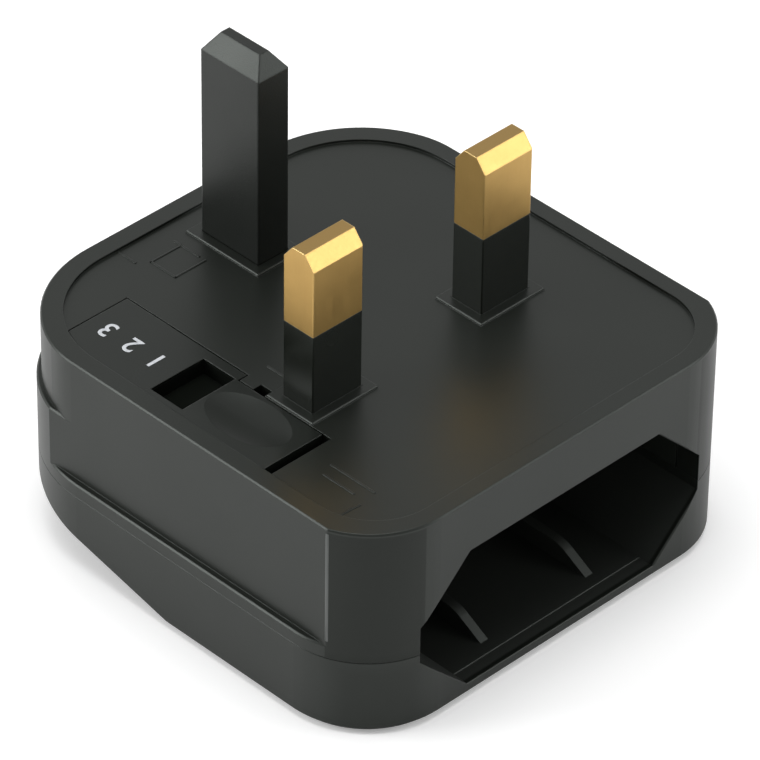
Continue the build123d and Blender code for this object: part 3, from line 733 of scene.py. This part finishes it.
@dataclass
class CarrierPrint:
    """Row of white figures on the fuse carrier."""

    shelf: FinishShelf
    figures: str = "123"
    height: float = 2.15 * MM
    height_share: float = 0.7
    weight: float = 0.035 * MM
    pitch: float = 3.35 * MM
    first_y: float = 8.7 * MM
    centre_x: float = -19.0 * MM
    turn: float = 90.0
    lift: float = 0.02 * MM
    ink: float = 0.015 * MM
    curve_steps: int = 6

    def build(self) -> bpy.types.Object:
        """Sets the figures as thin flat pieces, reading towards the earth pin.

        Returns:
            The row as one mesh piece.
        """
        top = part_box("fuse_carrier")[1].z
        parts = [self.figure(sign, step) for step, sign in enumerate(self.figures)]
        row = join_meshes("carrier_print", parts)
        row.data.transform(Matrix.Translation((0.0, 0.0, top + self.lift)))
        self.shelf.dress(row, PRINT_FINISH)
        return row

    def figure(self, sign: str, step: int) -> bpy.types.Object:
        """Makes one figure as a mesh lying at its place in plan.

        Args:
            sign: Figure to set.
            step: Its number in the row, from 0.

        Returns:
            The figure.
        """
        curve = bpy.data.curves.new(f"figure_{step}", "FONT")
        curve.body = sign
        curve.size = self.height / self.height_share
        curve.align_x = "CENTER"
        curve.align_y = "CENTER"
        curve.extrude = self.ink / 2
        curve.offset = self.weight
        curve.resolution_u = self.curve_steps
        text = bpy.data.objects.new(f"figure_{step}", curve)
        bpy.context.scene.collection.objects.link(text)
        bpy.context.view_layer.update()
        data = bpy.data.meshes.new_from_object(text.evaluated_get(bpy.context.evaluated_depsgraph_get()))
        bpy.data.objects.remove(text)
        data.transform(Matrix.Rotation(math.radians(self.turn), 4, "Z"))
        data.transform(Matrix.Translation((self.centre_x, self.first_y + step * self.pitch, 0.0)))
        return link_mesh(f"figure_{step}_mesh", data)


@dataclass
class FaceMarks:
    """Fine raised lines moulded on the pin face, each given by its two ends in plan, in millimetres."""

    shelf: FinishShelf
    name: str = "face_marks"
    width: float = 0.26 * MM
    rise: float = 0.07 * MM
    sunk: float = 0.02 * MM
    shoulder_share: float = 0.45
    crest_share: float = 0.5
    strokes: list[Stroke] = field(default_factory=lambda: [
        ((-18.15, -14.0), (-18.15, -19.6)),
        ((-19.65, -14.6), (-19.65, -18.4)),
        ((-23.0, -19.8), (-20.4, -20.0)),
        ((-10.0, 24.3), (-10.0, 21.5)),
        ((-8.8, 20.5), (-8.8, 17.1)),
        ((-8.8, 20.5), (-4.9, 20.5)),
        ((-4.9, 21.4), (-4.9, 18.0)),
        ((-8.8, 17.1), (-4.9, 17.1)),
        ((-12.1, 0.8), (-12.1, -1.3)),
    ])

    def build(self, floor_z: float) -> bpy.types.Object:
        """Raises each stroke as a rib with bevelled flanks.

        Args:
            floor_z: Height that the ribs stand on.

        Returns:
            The strokes as one mesh piece.
        """
        ribs = [self.rib(index, ends, floor_z) for index, ends in enumerate(self.strokes)]
        marks = join_meshes(self.name, ribs)
        self.shelf.dress(marks, HOUSING_FINISH)
        return marks

    def rib(self, index: int, ends: Stroke, floor_z: float) -> bpy.types.Object:
        """Makes one rib: a straight foot, a shoulder and a narrower crest.

        Args:
            index: Number of the stroke.
            ends: Its two ends in plan, in millimetres.
            floor_z: Height that it stands on.

        Returns:
            The rib.
        """
        start, end = (Vector((x * MM, y * MM)) for x, y in ends)
        along = (end - start).normalized()
        side = Vector((-along.y, along.x))
        half = self.width / 2
        start = start - along * half
        end = end + along * half
        sections = (
            (1.0, -self.sunk),
            (1.0, self.rise * self.shoulder_share),
            (self.crest_share, self.rise),
        )
        mesh = bmesh.new()
        rings = []
        for share, level in sections:
            reach = side * half * share
            tail = start + along * half * (1.0 - share)
            head = end - along * half * (1.0 - share)
            corners = (tail - reach, head - reach, head + reach, tail + reach)
            rings.append([mesh.verts.new((p.x, p.y, floor_z + level)) for p in corners])
        close_rings(mesh, rings)
        return settle(f"mark_{index}", mesh)


@dataclass
class PinCollars:
    """Thin flash that closes the plinths round the feet of the line pins, with plan sizes in millimetres."""

    shelf: FinishShelf
    level: float = 23.75 * MM
    width: float = 0.12 * MM
    rise: float = 0.012 * MM
    reach: float = 0.04
    pin_pitch: float = 22.23
    pin_y: float = -5.5
    pin_width: float = 6.35
    pin_depth: float = 3.97

    def build(self) -> bpy.types.Object:
        """Lays a flat rib along each side of each foot.

        Returns:
            The collars as one mesh piece.
        """
        across = self.pin_width / 2 + self.reach
        along = self.pin_depth / 2 + self.reach
        front = self.pin_y - along
        rear = self.pin_y + along
        strokes = []
        for x in (-self.pin_pitch / 2, self.pin_pitch / 2):
            corners = [(x - across, front), (x + across, front), (x + across, rear), (x - across, rear)]
            strokes += list(zip(corners, corners[1:] + corners[:1]))
        ribs = FaceMarks(self.shelf, name="pin_collars", width=self.width, rise=self.rise, strokes=strokes)
        return ribs.build(self.level)


@dataclass
class GripHighlights:
    """Pale beads up the front edges of the two grip flats: a painted highlight along each edge."""

    shelf: FinishShelf
    edge_x: float = 25.3 * MM
    edge_y: float = -20.72 * MM
    low: float = 10.35 * MM
    high: float = 23.55 * MM
    radius: float = 0.30 * MM
    end_share: float = 0.3
    sunk_share: float = 0.9
    sides: int = 24

    def build(self) -> bpy.types.Object:
        """Runs a fine bead up the front edge of each flat.

        Returns:
            Both beads as one mesh piece.
        """
        beads = join_meshes("grip_edge_highlights", [self.bead(side) for side in (-1, 1)])
        self.shelf.dress(beads, EDGE_HIGHLIGHT_FINISH)
        return beads

    def bead(self, side: int) -> bpy.types.Object:
        """Makes one bead, drawn in at both ends.

        Args:
            side: Minus one for the live side, one for the neutral side.

        Returns:
            The bead.
        """
        centre = side * (self.edge_x - self.radius * self.sunk_share)
        sections = (
            (self.low, self.end_share),
            (self.low + self.radius, 1.0),
            (self.high - self.radius, 1.0),
            (self.high, self.end_share),
        )
        mesh = bmesh.new()
        rings = []
        for level, share in sections:
            reach = self.radius * share
            ring = []
            for k in range(self.sides):
                turn = 2 * math.pi * k / self.sides
                x = centre + reach * math.cos(turn)
                y = self.edge_y + reach * math.sin(turn)
                ring.append(mesh.verts.new((x, y, level)))
            rings.append(ring)
        close_rings(mesh, rings)
        bead = settle(f"bead_{side}", mesh)
        bead.data.shade_smooth()
        return bead


class WorldBoard(Board):
    """Node tree of the world, with one background shader."""

    def __init__(self) -> None:
        """Starts a plain white world."""
        world = bpy.data.worlds.new("studio")
        world.use_nodes = True
        bpy.context.scene.world = world
        super().__init__(world.node_tree)
        output = self.add("ShaderNodeOutputWorld")
        self.background = self.add("ShaderNodeBackground")
        self.background.inputs["Color"].default_value = (1.0, 1.0, 1.0, 1.0)
        self.link(self.background.outputs["Background"], output.inputs["Surface"])

    def seen(self) -> Socket:
        """Marks rays from the camera, from gloss and through glass.

        Returns:
            One for such rays, else zero.
        """
        path = self.add("ShaderNodeLightPath")
        direct = self.add("ShaderNodeMath", operation="MAXIMUM")
        self.link(path.outputs["Is Camera Ray"], direct.inputs[0])
        self.link(path.outputs["Is Glossy Ray"], direct.inputs[1])
        whole = self.add("ShaderNodeMath", operation="MAXIMUM")
        self.link(direct.outputs[0], whole.inputs[0])
        self.link(path.outputs["Is Transmission Ray"], whole.inputs[1])
        return whole.outputs[0]


@dataclass(frozen=True)
class Softbox:
    """Soft square lamp: where it stands and its side, in metres, and its power in watts."""

    name: str
    place: Point3
    side: float
    power: float


SOFTBOXES = (
    Softbox("key_softbox", (-0.56, 0.50, 0.36), side=0.38, power=3.1),
    Softbox("front_softbox", (0.50, -0.58, 0.36), side=0.36, power=1.3),
    Softbox("overhead_softbox", (-0.02, 0.02, 0.85), side=0.50, power=3.1),
)


@dataclass
class Studio:
    """Pale floor, soft lamps, plain surroundings and the camera."""

    floor_half: float = 1.5
    floor_tone: float = 0.93
    floor_lift: float = 0.22
    floor_roughness: float = 0.9
    floor_specular: float = 0.1
    sky_level: float = 0.62
    horizon: float = 1.0
    zenith: float = 0.52
    fade_heights: Point2 = (0.10, 0.75)
    near_share: float = 0.62
    far_share: float = 1.12
    azimuth: float = -44.965
    elevation: float = 37.498
    roll: float = 0.838
    distance: float = 574.27 * MM
    aim: Point3 = (-6.204 * MM, -8.176 * MM, 23.8 * MM)
    lens: float = 290.85
    sensor: float = 36.0
    clip: Point2 = (0.01, 10.0)

    def build(self) -> None:
        """Sets up the floor, the surroundings, the lamps and the camera."""
        self.floor()
        self.surroundings()
        for softbox in SOFTBOXES:
            self.lamp(softbox)
        self.camera()
        bpy.context.scene.view_settings.view_transform = "Standard"

    def floor(self) -> None:
        """Makes the floor, which keeps the shadow and shows white beyond it."""
        mesh = bmesh.new()
        bmesh.ops.create_grid(mesh, x_segments=1, y_segments=1, size=self.floor_half)
        piece = settle("floor", mesh)
        tone = self.floor_tone
        board = NodeBoard("floor_paper")
        board.shader.inputs["Base Color"].default_value = (tone, tone, tone, 1.0)
        board.shader.inputs["Roughness"].default_value = self.floor_roughness
        board.shader.inputs["Specular IOR Level"].default_value = self.floor_specular
        board.shader.inputs["Emission Color"].default_value = (1.0, 1.0, 1.0, 1.0)
        glow = board.add("ShaderNodeMath", operation="MULTIPLY")
        glow.inputs[1].default_value = self.floor_lift
        board.link(board.add("ShaderNodeLightPath").outputs["Is Camera Ray"], glow.inputs[0])
        board.link(glow.outputs[0], board.shader.inputs["Emission Strength"])
        piece.data.materials.append(board.material)

    def surroundings(self) -> None:
        """Lights the world softly: white at the horizon, greyer overhead, dimmer on the camera's side."""
        board = WorldBoard()
        ways = board.add("ShaderNodeTexCoord").outputs["Generated"]
        split = board.add("ShaderNodeSeparateXYZ")
        board.link(ways, split.inputs["Vector"])
        fade = board.add("ShaderNodeMapRange", interpolation_type="SMOOTHSTEP")
        fade.inputs["From Min"].default_value = self.fade_heights[0]
        fade.inputs["From Max"].default_value = self.fade_heights[1]
        fade.inputs["To Min"].default_value = self.horizon
        fade.inputs["To Max"].default_value = self.zenith
        board.link(split.outputs["Z"], fade.inputs["Value"])
        level = board.add("ShaderNodeMix")
        level.inputs["A"].default_value = self.sky_level
        board.link(board.seen(), level.inputs["Factor"])
        board.link(fade.outputs["Result"], level.inputs["B"])
        azimuth = math.radians(self.azimuth)
        facing = board.add("ShaderNodeVectorMath", operation="DOT_PRODUCT")
        facing.inputs[1].default_value = (-math.sin(azimuth), math.cos(azimuth), 0.0)
        board.link(ways, facing.inputs[0])
        lean = board.spread(facing.outputs["Value"], (-1.0, 1.0), (self.near_share, self.far_share))
        strength = board.add("ShaderNodeMath", operation="MULTIPLY")
        board.link(level.outputs["Result"], strength.inputs[0])
        board.link(lean, strength.inputs[1])
        board.link(strength.outputs[0], board.background.inputs["Strength"])

    def lamp(self, softbox: Softbox) -> None:
        """Adds a lamp that faces the adapter.

        Args:
            softbox: Lamp to add.
        """
        data = bpy.data.lights.new(softbox.name, "AREA")
        data.shape = "SQUARE"
        data.size = softbox.side
        data.energy = softbox.power
        lamp = bpy.data.objects.new(softbox.name, data)
        bpy.context.scene.collection.objects.link(lamp)
        lamp.location = softbox.place
        lamp.rotation_mode = "QUATERNION"
        lamp.rotation_quaternion = (Vector(self.aim) - Vector(softbox.place)).to_track_quat("-Z", "Y")
        lamp.visible_camera = False

    def camera(self) -> None:
        """Stands the camera at the photograph's angle."""
        angles = (self.azimuth, self.elevation, self.roll)
        azimuth, elevation, roll = (math.radians(angle) for angle in angles)
        away = Vector((math.sin(azimuth), -math.cos(azimuth), 0.0))
        back = away * math.cos(elevation) + Vector((0.0, 0.0, math.sin(elevation)))
        level = Vector((math.cos(azimuth), math.sin(azimuth), 0.0))
        rise = back.cross(level)
        right = level * math.cos(roll) + rise * math.sin(roll)
        up = rise * math.cos(roll) - level * math.sin(roll)
        data = bpy.data.cameras.new("camera")
        data.lens = self.lens
        data.sensor_width = self.sensor
        data.clip_start, data.clip_end = self.clip
        camera = bpy.data.objects.new("camera", data)
        bpy.context.scene.collection.objects.link(camera)
        pose = Matrix((right, up, back)).transposed().to_4x4()
        pose.translation = Vector(self.aim) + back * self.distance
        camera.matrix_world = pose
        bpy.context.scene.camera = camera


def main() -> None:
    """Loads the frame, dresses it, adds the fine pieces and sets up the studio."""
    logging.basicConfig(level=logging.INFO, format="%(name)s: %(message)s")
    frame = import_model()
    shelf = FinishShelf()
    CastPieces(shelf).dress(frame["nodes"])
    floor_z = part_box("fuse_carrier")[1].z
    marks = FaceMarks(shelf).build(floor_z)
    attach(marks, Body.HOUSING.value)
    LOG.info("added %s", marks.name)
    collars = PinCollars(shelf).build()
    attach(collars, Body.HOUSING.value)
    LOG.info("added %s", collars.name)
    beads = GripHighlights(shelf).build()
    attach(beads, Body.HOUSING.value)
    LOG.info("added %s", beads.name)
    figures = CarrierPrint(shelf).build()
    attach(figures, Body.CARRIER.value)
    LOG.info("added %s", figures.name)
    Studio().build()
    LOG.info("set up the studio")


if __name__ == "__main__":
    main()
